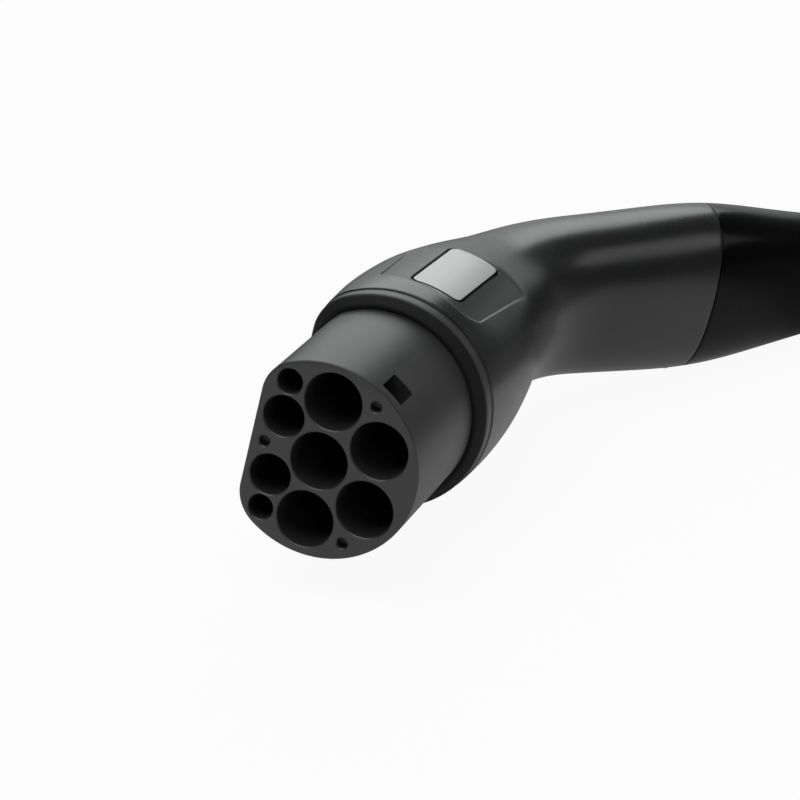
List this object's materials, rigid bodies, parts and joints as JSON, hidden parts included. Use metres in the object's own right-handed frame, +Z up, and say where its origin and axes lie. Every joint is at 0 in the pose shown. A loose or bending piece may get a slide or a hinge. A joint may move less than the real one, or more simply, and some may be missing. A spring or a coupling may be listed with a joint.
{
  "type": "ev charging plug",
  "caption": "Charging plug with a D-shaped contact block, recessed pins, a flange with a gasket, a bent oval handle with a bare nameplate, and a rear cap with a cable inlet.",
  "frame": {"origin": "axis of the earth contact on the plane of the mating face", "axes": "+X backwards from the mating face along the plug axis, +Z up; the plug lies on its side, rolled 14 degrees about its axis, so the flat of the D faces 14 degrees above +Y and the nameplate side 14 degrees from +Z towards -Y"},
  "size_m": [0.2721, 0.1198, 0.0695],
  "materials": {
    "block_plastic": "fine spark-eroded matte, charcoal",
    "gasket_rubber": "matt black rubber",
    "seal_rubber": "black rubber",
    "housing_plastic": "satin charcoal plastic",
    "cap_plastic": "semi-gloss black plastic",
    "plate_metal": "satin silver-grey, bare",
    "contact_metal": "silver-plated copper alloy",
    "inner_plastic": "moulded black plastic",
    "screw_steel": "zinc-plated steel",
    "resistor_lacquer": "lacquered body with tinned leads"
  },
  "bodies": {
    "root": {"contact_block": "block_plastic", "flange_gasket": "gasket_rubber", "housing_ring_seal": "seal_rubber", "housing": "housing_plastic", "rear_cap": "cap_plastic", "nameplate": "plate_metal", "contact_seals": "seal_rubber", "contact_retainer": "inner_plastic", "tie_screws": "screw_steel", "clamp_screws": "screw_steel", "housing_screws": "screw_steel", "cap_screws": "screw_steel", "cable_clamp_lower": "inner_plastic", "cable_clamp_upper": "inner_plastic", "cable_seal": "seal_rubber", "cap_seal": "seal_rubber", "coding_resistor": "resistor_lacquer", "pin_earth": "contact_metal", "pin_neutral": "contact_metal", "pin_line_3": "contact_metal", "pin_line_1": "contact_metal", "pin_line_2": "contact_metal", "pin_proximity": "contact_metal", "pin_control": "contact_metal"}
  },
  "joints": []
}
